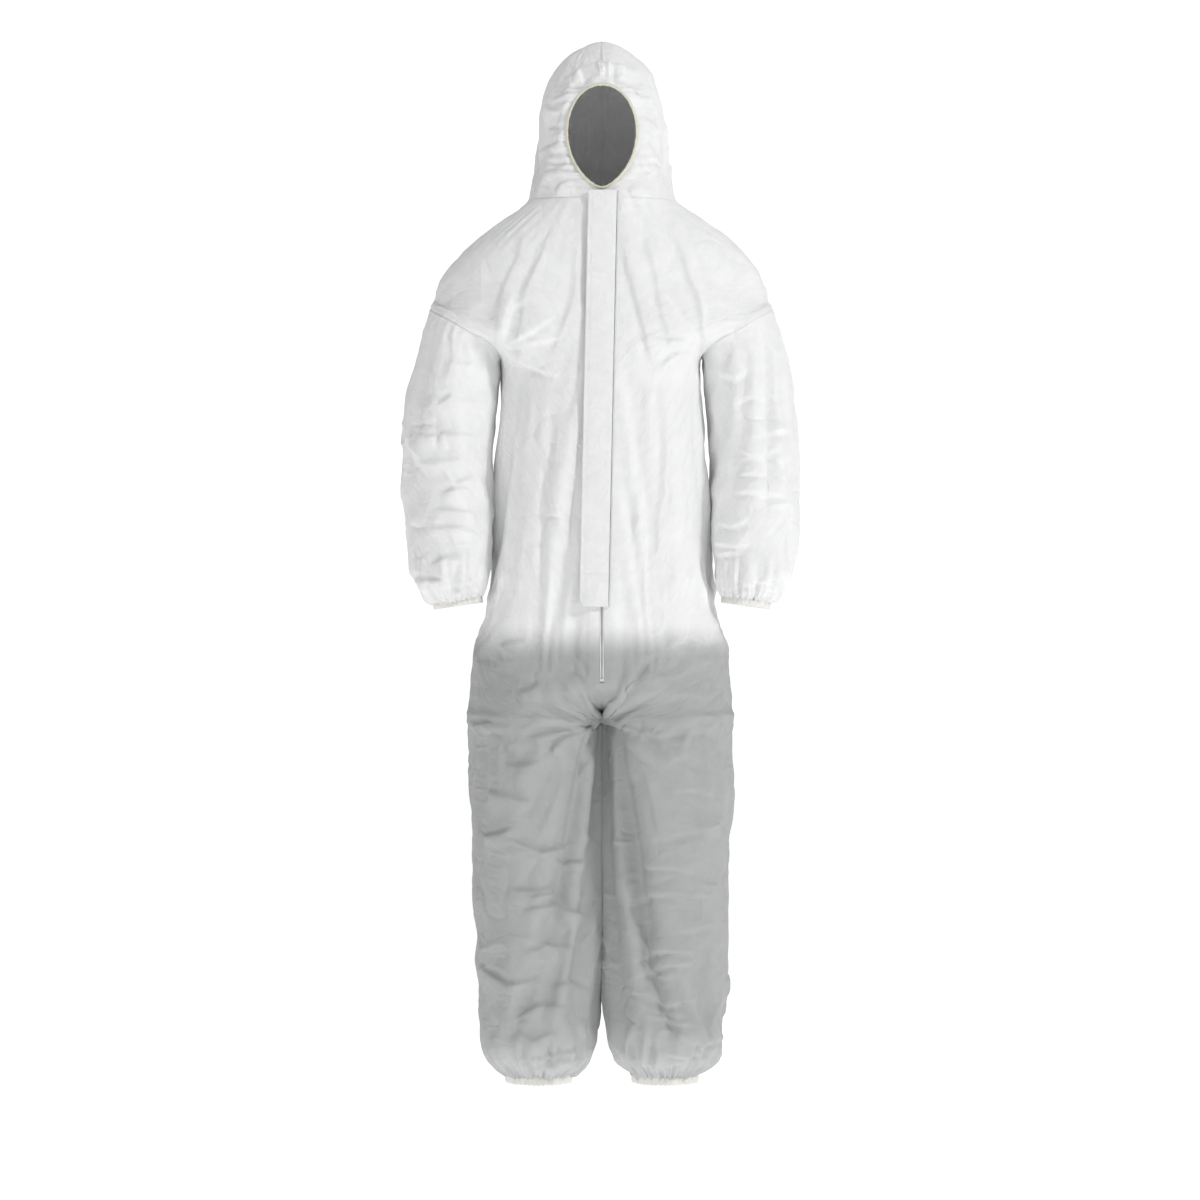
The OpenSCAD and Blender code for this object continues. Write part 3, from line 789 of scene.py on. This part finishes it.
def tint(tree, shader, factor, low, high):
    """Base colour between two tones by a factor."""
    mix = node(tree, "Mix", data_type="RGBA")
    tree.links.new(factor, mix.inputs["Factor"])
    mix.inputs[6].default_value, mix.inputs[7].default_value = (*low, 1), (*high, 1)
    tree.links.new(mix.outputs[2], shader.inputs["Base Color"])
    return mix


def bumps(tree, shader, heights):
    """Bump from (height, depth in metres) pairs, one on the other."""
    last = None
    for height, depth in heights:
        bump = node(tree, "Bump", [("Height", height)], Strength=1.0, Distance=depth)
        if last:
            tree.links.new(last.outputs[0], bump.inputs["Normal"])
        last = bump
    tree.links.new(last.outputs[0], shader.inputs["Normal"])


def weave(tree, place, pitch, turn):
    """Parallel lines of a given pitch, turned in the plane of the cloth."""
    turned = node(tree, "Mapping", [("Vector", place)])
    turned.inputs["Rotation"].default_value[2] = turn
    wave = node(tree, "TexWave", [("Vector", turned.outputs[0])], wave_type="BANDS")
    wave.inputs["Scale"].default_value = 2 * PI / 20 / pitch
    wave.inputs["Distortion"].default_value = 0.6
    wave.inputs["Detail Scale"].default_value = 1.5
    return wave.outputs["Fac"]


def grain(tree, place, scale, detail=4.0, rough=0.55):
    return node(tree, "TexNoise", [("Vector", place)], Scale=scale, Detail=detail, Roughness=rough).outputs["Fac"]


def nonwoven(name, colour, dull, painted_shade=False):
    """Spun-bonded cloth: matted fibres, embossed in fine diagonal rows, and creased like paper; where asked, darkened
    by painted shade.
    """
    mat, tree, shader = material(name, colour, 0.74, specular=0.28, sheen=0.12)
    uv = node(tree, "UVMap", uv_map="cloth").outputs[0]
    cloud = grain(tree, uv, 38.0, 6.0, 0.62)
    fibre = grain(tree, uv, 950.0, 3.0, 0.7)
    rows = math(tree, "MULTIPLY", weave(tree, uv, 0.0021, 0.72), weave(tree, uv, 0.0034, -0.86))
    edge = node(tree, "TexVoronoi", feature="DISTANCE_TO_EDGE", Scale=34.0)
    bent = node(tree, "Mix", data_type="VECTOR", Factor=0.035)
    tree.links.new(uv, bent.inputs[4])
    tree.links.new(node(tree, "TexNoise", [("Vector", uv)], Scale=30.0, Detail=3.0).outputs["Color"], bent.inputs[5])
    tree.links.new(bent.outputs[1], edge.inputs["Vector"])
    paper = node(tree, "MapRange", [("Value", edge.outputs["Distance"])], interpolation_type="SMOOTHSTEP")
    paper.inputs["From Max"].default_value = 0.16
    bumps(tree, shader, [(paper.outputs[0], 0.00035), (cloud, 0.0016), (rows, 0.00022), (fibre, 0.00016)])
    tone = math(tree, "ADD", math(tree, "MULTIPLY", cloud, 0.75), math(tree, "MULTIPLY", fibre, 0.25))
    spread_tone = node(tree, "MapRange", [("Value", tone)])
    spread_tone.inputs["From Min"].default_value, spread_tone.inputs["From Max"].default_value = 0.34, 0.66
    mix = tint(tree, shader, spread_tone.outputs[0], dull, colour)
    # painted shade: where the mesh asks for it, the base colour is multiplied down towards a grey, the shade of dark
    # clothing seen through the thin cloth of the legs
    if painted_shade:
        shade = node(tree, "Attribute", attribute_name="painted_shade")
        dark = node(tree, "Mix", data_type="RGBA", blend_type="MULTIPLY")
        tree.links.new(shade.outputs["Fac"], dark.inputs["Factor"])
        tree.links.new(mix.outputs[2], dark.inputs[6])
        dark.inputs[7].default_value = (*PAINTED_SHADE_TONE, 1)
        tree.links.new(dark.outputs[2], shader.inputs["Base Color"])
    rough = node(tree, "MapRange", [("Value", fibre)])
    rough.inputs["To Min"].default_value, rough.inputs["To Max"].default_value = 0.64, 0.82
    tree.links.new(rough.outputs[0], shader.inputs["Roughness"])
    return mat


# the grey of the painted shade on the legs
PAINTED_SHADE_TONE = (0.48, 0.485, 0.485)
CLOTH = nonwoven("coverall_cloth", (0.93, 0.932, 0.93), (0.86, 0.865, 0.865), painted_shade=True)
HEM = nonwoven("gathered_hem", (0.90, 0.89, 0.86), (0.80, 0.785, 0.74))


def ribbed(name, colour, low, pitch, depth, roughness, turn=0.0, cross=0.0, space="UV", **more):
    """Ribbed or woven trim: cords at one pitch, crossed by threads, with uneven colour and painted shade darkening
    the grooves between the cords.
    """
    mat, tree, shader = material(name, colour, roughness, **more)
    place = (node(tree, "UVMap", uv_map="cloth").outputs[0] if space == "UV"
             else node(tree, "TexCoord").outputs["Object"])
    ribs = weave(tree, place, pitch, turn)
    heights = [(ribs, depth)]
    if cross:
        heights.append((weave(tree, place, cross, turn + PI / 2), depth * 0.7))
    uneven = grain(tree, place, 140.0, 5.0)
    heights.append((grain(tree, place, 1400.0, 2.0), depth * 0.25))
    bumps(tree, shader, heights)
    # painted shade: the colour runs towards the darker tone in the grooves between the cords; the grain on top is
    # uneven tone
    tint(tree, shader, math(tree, "ADD", math(tree, "MULTIPLY", ribs, 0.45), math(tree, "MULTIPLY", uneven, 0.55)),
         low, colour)
    return mat


# each second colour is the dark end: painted shade in the grooves, and uneven tone
ELASTIC = ribbed("elastic", (0.90, 0.88, 0.78), (0.72, 0.68, 0.52), 0.0016, 0.0003, 0.62, cross=0.0028, sheen=0.1)
TAPE = ribbed("zip_tape", (0.88, 0.885, 0.89), (0.74, 0.745, 0.75), 0.0011, 0.0002, 0.7, turn=0.7, cross=0.0013,
              space="Object")
COIL = ribbed("zip_coil", (0.90, 0.90, 0.89), (0.66, 0.665, 0.67), 0.0021, 0.0006, 0.35, turn=PI / 2, space="Object",
              specular=0.5)
METAL = ribbed("zip_metal", (0.86, 0.865, 0.87), (0.66, 0.665, 0.68), 0.008, 0.00008, 0.32, space="Object",
               specular=0.6, metal=0.15)
LABEL = ribbed("label", (0.92, 0.92, 0.92), (0.84, 0.84, 0.845), 0.0007, 0.0001, 0.38, turn=0.0, cross=0.0008,
               specular=0.5)


# ---------------------------------------------------------------- the suit's pieces
def piece_object(name, points, faces, uv, look, normals=None, painted_shade=None):
    """A smooth-shaded piece; uv has a pair of metres for each face corner."""
    mesh = bpy.data.meshes.new(name)
    mesh.from_pydata(points.tolist(), [], faces.tolist())
    mesh.uv_layers.new(name="cloth").uv.foreach_set("vector", np.asarray(uv, np.float32).reshape(-1))
    mesh.polygons.foreach_set("use_smooth", np.ones(len(faces), bool))
    # painted shade, point by point; none where nothing is given
    shade = np.zeros(len(points)) if painted_shade is None else painted_shade
    mesh.attributes.new("painted_shade", "FLOAT", "POINT").data.foreach_set("value", shade)
    mesh.materials.append(look)
    if normals is not None:
        mesh.normals_split_custom_set_from_vertices(normals.tolist())
    mesh.update()
    ob = bpy.data.objects.new(name, mesh)
    bpy.context.scene.collection.objects.link(ob)
    return ob


ZIP_HALF = 0.2  # the front panels stop about this many columns either side of the zip


ZIP_BOTTOM = box("zip_bottom_stop")[0][2] - 3 * MM
STANDS_FOR = {"front": ("front_panel",), "back": ("back_panel",), "hood": ("hood_panel",),
              "sleeve_upper": ("shoulder_cloth", "sleeve_upper"), "sleeve_lower": ("elbow_cloth", "sleeve_lower"),
              "leg_upper": ("hip_cloth", "leg_upper"), "leg_lower": ("knee_cloth", "leg_lower")}


def cut_piece(side, part):
    """One piece of the suit; the front and the hood leave a gap over the zip."""
    keep = PIECE == PIECES.index(part) + 10 * (side == "right")
    middle = REST[QUADS].mean(1)
    if part == "front":
        keep &= ~((RIM[QUADS][:, :, 2].mean(1) < ZIP_HALF) & (middle[:, 2] > ZIP_BOTTOM))
    if part == "hood":
        keep &= ~((np.abs(middle[:, 0]) < 0.005) & (middle[:, 2] < 0.012) & (middle[:, 1] < 0))
    used, local = np.unique(QUADS[keep], return_inverse=True)
    z = REST[used][:, 2]
    # painted shade: the legs are darkened from the hips down, a little less towards the ankles
    painted_shade = smooth(-z, 0.675, 0.735) * (1 - 0.25 * smooth(-z, 1.30, 1.40))
    return piece_object(side + "_" + part + "_cloth", SHAPE[used], local.reshape(-1, 4), UV[keep], CLOTH,
                        NORMAL[used], painted_shade)


# the two bodies of a piece that spans two, and where its bend would start and end on the wearer's left; the script
# reads only which pieces are listed
ARM_MID = np.array([217.5, 0, -201.5]) * MM
ARM_OUT = np.array([0.503, 0, -0.864])
BENDS = {"hood": ("torso", "hood", (0, 0, 0), (0, 0, 0.20)),
         "sleeve_upper": ("torso", "upper_sleeve", ARM_MID + ARM_OUT * 6 * MM, ARM_MID + ARM_OUT * 78 * MM),
         "sleeve_lower": ("upper_sleeve", "lower_sleeve", (0.25, 0, -0.382), (0.25, 0, -0.512)),
         "leg_upper": ("torso", "upper_leg", (0.11, 0, -0.836), (0.11, 0, -0.962)),
         "leg_lower": ("upper_leg", "lower_leg", (0.107, 0, -1.026), (0.107, 0, -1.164))}


def place(ob, side, part):
    """Rides a piece on the torso, or, for a piece listed in BENDS, bakes its transform and leaves it unattached."""
    if part not in BENDS:
        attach(ob, "torso")
        return
    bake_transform(ob)


for side in ("left", "right"):
    for part in PIECES:
        ob = cut_piece(side, part)
        place(ob, side, part)
        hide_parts(*(side + "_" + n for n in STANDS_FOR[part]))
        kind, _, half = part.partition("_")
        grid = GRIDS[side + "_" + kind]
        if half:
            z = grid[:, :, 2].mean(1)
            grid = grid[z > SPLIT[kind] - 4 * MM] if half == "upper" else grid[z < SPLIT[kind] + 4 * MM]
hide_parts("hood_collar")
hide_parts("crotch_gusset")


# ---------------------------------------------------------------- bands, strips and the flap
def tube(name, path, across, up, section, look, closed=True, pitch=1.0):
    """A closed section of (across, up) offsets in metres, swept along a path with its own frame."""
    rows, cols = len(path), len(section)
    section = np.asarray(section, float)
    scale = np.broadcast_to(np.asarray(pitch, float), (rows,))[:, None, None]
    points = (path[:, None] + across[:, None] * section[None, :, :1] * scale
              + up[:, None] * section[None, :, 1:] * scale)
    index = np.arange(rows * cols).reshape(rows, cols)
    ring_index = np.concatenate([index, index[:, :1]], 1)
    if closed:
        ring_index = np.concatenate([ring_index, ring_index[:1]], 0)
    run = np.concatenate([[0], np.cumsum(np.linalg.norm(np.diff(path, axis=0), axis=1))])
    run = np.append(run, run[-1] + np.linalg.norm(path[0] - path[-1])) if closed else run
    wrap = np.append(0, np.cumsum(np.linalg.norm(np.diff(np.vstack([section, section[:1]]), axis=0), axis=1)))
    u, v = np.meshgrid(wrap, run)
    faces = quads(ring_index, False)
    uv = np.stack([quads(u, False), quads(v, False)], -1)
    points = points.reshape(-1, 3)
    if not closed:
        faces, uv, points = cap_ends(points, faces, uv, index)
    return piece_object(name, points, faces, uv, look)


def cap_ends(points, faces, uv, index):
    """Closes both ends of a tube with quads between the two halves of the section."""
    cols = index.shape[1]
    extra = []
    for row, turn in ((index[0], 1), (index[-1], -1)):
        for k in range(cols // 2 - 1):
            q = [row[k], row[k + 1], row[cols - 2 - k], row[cols - 1 - k]]
            extra.append(q[::-1] if turn > 0 else q)
    corner = np.zeros((len(extra), 4, 2))
    return np.vstack([faces, extra]), np.concatenate([uv, corner]), points


def rounded(width, thick, steps=3):
    """A flat section with round edges, anticlockwise."""
    half = width / 2 - thick / 2
    a = np.linspace(-PI / 2, PI / 2, 2 * steps + 1)
    right = np.stack([half + thick / 2 * np.cos(a), thick / 2 * np.sin(a)], 1)
    left = np.stack([-half - thick / 2 * np.cos(a), -thick / 2 * np.sin(a)], 1)
    return np.concatenate([right, left])


def hem_band(name, path, side, width, thick, pleats, body, cad):
    """The gathered edge at a wrist or ankle: a short puckered band round its elastic."""
    x, y, z, tilt, half, deep = path[-1]
    way = 1 if side == "left" else -1
    a = np.linspace(0, 2 * PI, 288, endpoint=False)
    pucker = 1 + 0.018 * np.sin(pleats * a + 2 * np.sin(3 * a)) + 0.010 * np.sin(31 * a)
    lean = np.radians(tilt)
    out = np.stack([np.cos(a) * np.cos(lean), -np.sin(a), np.cos(a) * np.sin(lean)], 1)
    down = np.array([np.sin(lean), 0, -np.cos(lean)])
    middle = np.array([x, y, z]) * MM
    ring_path = middle + out * (np.array([half, deep, half]) * MM) * pucker[:, None] - out * MM
    ring_path = ring_path + down * (width * 0.40 + 0.0008 * np.sin(pleats * a + 1.2))[:, None]
    flip = np.array([way, 1, 1])
    ob = tube(name, (ring_path * flip)[::way], np.tile(down * flip, (288, 1)), (out * flip)[::way],
              rounded(width, thick), HEM)
    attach(ob, side + "_" + body)
    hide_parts(side + "_" + cad)
    return ob


for side in ("left", "right"):
    hem_band(side + "_wrist_hem", SLEEVE_PATH, side, 0.013, 0.0042, 34, "lower_sleeve", "wrist_elastic")
    hem_band(side + "_ankle_hem", LEG_PATH, side, 0.014, 0.0046, 44, "lower_leg", "ankle_elastic")


def resample(path, count):
    """A closed path at equal steps."""
    path = np.vstack([path, path[:1]])
    run = np.append(0, np.cumsum(np.linalg.norm(np.diff(path, axis=0), axis=1)))
    steps = np.linspace(0, run[-1], count, endpoint=False)
    return np.stack([np.interp(steps, run, path[:, k]) for k in range(3)], 1)


def face_band():
    """The elastic binding round the face opening, scalloped by the gathers."""
    rows = slice(CHIN_ROWS, CHIN_ROWS + FACE_ROWS + 1)
    left, right = (START[INDEX[side + "_hood"][rows, 0]] for side in ("left", "right"))
    loop = resample(np.vstack([left, right[-2:0:-1]]), 360)
    for _ in range(30):
        loop = loop * 0.5 + (np.roll(loop, 1, 0) + np.roll(loop, -1, 0)) * 0.25
    forward = unit(loop * [1, 0, 1] - [0, 0, FACE_Z]) * 0.45 + [0, -0.9, 0]
    tangent = unit(np.roll(loop, -1, 0) - np.roll(loop, 1, 0))
    forward = unit(forward - tangent * (forward * tangent).sum(1)[:, None])
    across = np.cross(tangent, forward)
    k = np.arange(360)
    scallop = 1 + 0.12 * np.sin(k * 0.62 + 2 * np.sin(k * 0.11)) + 0.07 * np.sin(k * 1.31)
    ob = tube("face_binding", loop + forward * 1.6 * MM, across, forward, rounded(0.0048, 0.0030), ELASTIC,
              pitch=scallop)
    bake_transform(ob)
    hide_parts("face_elastic")
    return ob


face_band()


def strip(name, grid, across, down, look):
    """A closed strip from a grid of its front layer and its back layer; across and down are its flat measures."""
    index = np.arange(grid[..., 0].size).reshape(grid.shape[:3])
    u, v = np.meshgrid(across, down)
    faces = [quads(index[0], True), quads(index[1], False)]
    uvs = [np.stack([quads(u, True), quads(v, True)], -1), np.stack([quads(u, False), quads(v, False)], -1)]
    for edge, turned_over in ((index[:, 0, :], False), (index[:, -1, :], True), (index[:, :, 0], True),
                              (index[:, :, -1], False)):
        faces.append(quads(edge, turned_over))
        uvs.append(np.zeros((len(faces[-1]), 4, 2)))
    return piece_object(name, grid.reshape(-1, 3), np.vstack(faces), np.concatenate(uvs), look)


def lining_strip(name, x_half, z_low, z_high, inset, thick, look, cad):
    """A strip that lies on the inside of the back, from its settled points."""
    points = np.vstack([SHAPE[INDEX["left_back"]].reshape(-1, 3), SHAPE[INDEX["right_back"]].reshape(-1, 3)])
    xs = np.linspace(-x_half, x_half, 25)
    zs = np.linspace(z_low, z_high, 5)
    grid = np.zeros((2, len(zs), len(xs), 3))
    for r, z in enumerate(zs):
        for c, x in enumerate(xs):
            near = np.argsort((points[:, 0] - x) ** 2 + (points[:, 2] - z) ** 2)[:4]
            y = points[near, 1].mean()
            grid[0, r, c] = (x, y - inset, z)
            grid[1, r, c] = (x, y - inset - thick, z)
    for _ in range(3):
        grid[:, :, 1:-1, 1] = (grid[:, :, :-2, 1] + 2 * grid[:, :, 1:-1, 1] + grid[:, :, 2:, 1]) / 4
    ob = strip(name, grid, xs, zs, look)
    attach(ob, "torso")
    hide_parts(cad)


lining_strip("waist_band", 0.110, -0.486, -0.474, 0.0030, 0.0014, ELASTIC, "waist_elastic")
lining_strip("blank_label", 0.016, -0.046, -0.004, 0.0030, 0.0006, LABEL, "neck_label")


FLAP_W = 46 * MM
FLAP_Y = box("storm_flap")[1][1] - 1.4 * MM  # at its upper end
FLAP_LEAN = 14 / 662  # the flap drifts to the wearer's right on its way down


def flap_piece():
    """The storm flap: two layers turned over at the free edge, stitched across near its loose lower end."""
    low, high = box("storm_flap")
    length = high[2] - low[2]
    rows, cols = 300, 25
    grid = np.zeros((2, rows + 1, cols + 1, 3))
    for r in range(rows + 1):
        t = r / rows
        z = high[2] - length * t
        x_hinge = high[0] - 0.0004 - FLAP_LEAN * (high[2] - z)
        for c in range(cols + 1):
            s = c / cols
            width = FLAP_W - 6 * MM * max(0, (t - 0.985) / 0.015) * (s > 0.9)
            wave = 0.9 * MM * np.sin(t * 21 + 0.6) * s ** 2 + 0.6 * MM * np.sin(t * 47) * s ** 3
            crown = -1.1 * MM * np.sin(PI * s) ** 0.8
            loose = -3.5 * MM * max(0, (t - 0.93) / 0.07) ** 2 * s
            stitch = 0.9 * MM * np.exp(-((t - 0.918) * length / 0.0022) ** 2)
            hem = 0.5 * MM * np.exp(-((width * (1 - s) - 0.006) / 0.0012) ** 2)
            y = FLAP_Y + (z - high[2]) * ZIP_SLOPE + crown + wave + loose + stitch + hem
            grid[0, r, c] = (x_hinge - width * s, y, z)
            grid[1, r, c] = (x_hinge - width * s, y + 0.0009, z)
    ob = strip("storm_flap_cloth", grid, np.linspace(0, FLAP_W, cols + 1), np.linspace(0, length, rows + 1), CLOTH)
    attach(ob, "flap")
    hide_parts("storm_flap")


flap_piece()

# ---------------------------------------------------------------- the carried-over solids
NODE_LOOKS = {"left_zip_tape": TAPE, "right_zip_tape": TAPE, "left_zip_coil": COIL, "right_zip_coil": COIL,
              "zip_top_stops": METAL, "zip_bottom_stop": METAL, "zip_slider": METAL, "zip_pull": METAL,
              "flap_seam": TAPE}
for name, look in NODE_LOOKS.items():
    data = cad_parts[name].data
    data.materials.clear()
    data.materials.append(look)

# ---------------------------------------------------------------- floor, light and camera
FLOOR = -1.534
VIEW_SPAN = 1.908  # width of the view at the suit's front, in metres
DISTANCE = 5.6
CENTRE = Vector((-0.003, -0.10, -0.641))


def turned(name, profile, angles):
    """A staged surface of the studio: (radius, height) points turned about the upright axis."""
    points = [(r * np.cos(a), r * np.sin(a), FLOOR + z) for r, z in profile for a in angles]
    faces = quads(np.arange(len(points)).reshape(len(profile), -1), False)
    ob = piece_object(name, np.array(points), faces, np.zeros((len(faces), 4, 2)), PAPER)
    return ob


def backdrop():
    """A pale round floor, and behind the suit a wall that curves up from it, further off than the camera."""
    wall, bend, top = DISTANCE + 2.2, 1.2, 5.5
    curve = [(wall - bend + bend * np.sin(a), bend - bend * np.cos(a)) for a in np.linspace(0, PI / 2, 13)]
    turned("floor", [(MM, 0), (wall - bend, 0)], np.linspace(0, 2 * PI, 97))
    backing = turned("wall", curve + [(wall, top)], np.linspace(-0.2, PI + 0.2, 65))
    backing.visible_diffuse = False  # it is only seen: the softboxes and the world light the suit


PAPER, _, paper_shader = material("studio_paper", (0.94, 0.94, 0.94), 0.9, specular=0.1)
paper_shader.inputs["Emission Color"].default_value = (1, 1, 1, 1)
paper_shader.inputs["Emission Strength"].default_value = 0.66
bpy.context.scene.view_settings.view_transform = "Standard"
backdrop()


def softbox(name, at, aim, size, power):
    light = bpy.data.lights.new(name, "AREA")
    light.energy, light.size = power, size
    ob = bpy.data.objects.new(name, light)
    bpy.context.scene.collection.objects.link(ob)
    ob.location = at
    ob.rotation_euler = (Vector(aim) - Vector(at)).to_track_quat("-Z", "Y").to_euler()


softbox("key", (2.9, -2.4, 1.5), (0, 0, -0.6), 0.6, 61)
softbox("fill", (-2.6, -3.0, 0.2), (0, 0, -0.7), 1.6, 12)
softbox("top", (0.2, -0.4, 2.8), (0, 0.1, -0.2), 1.2, 16)

world = bpy.data.worlds.new("studio")
bpy.context.scene.world = world
world.use_nodes = True
world.node_tree.nodes["Background"].inputs["Color"].default_value = (1, 1, 1, 1)
world.node_tree.nodes["Background"].inputs["Strength"].default_value = 0.33

camera = bpy.data.objects.new("camera", bpy.data.cameras.new("camera"))
bpy.context.scene.collection.objects.link(camera)
camera.data.sensor_width = 36
camera.data.lens = camera.data.sensor_width * DISTANCE / VIEW_SPAN
camera.location = CENTRE - Vector((0, DISTANCE, 0))
camera.rotation_euler = (PI / 2, 0, 0)
bpy.context.scene.camera = camera
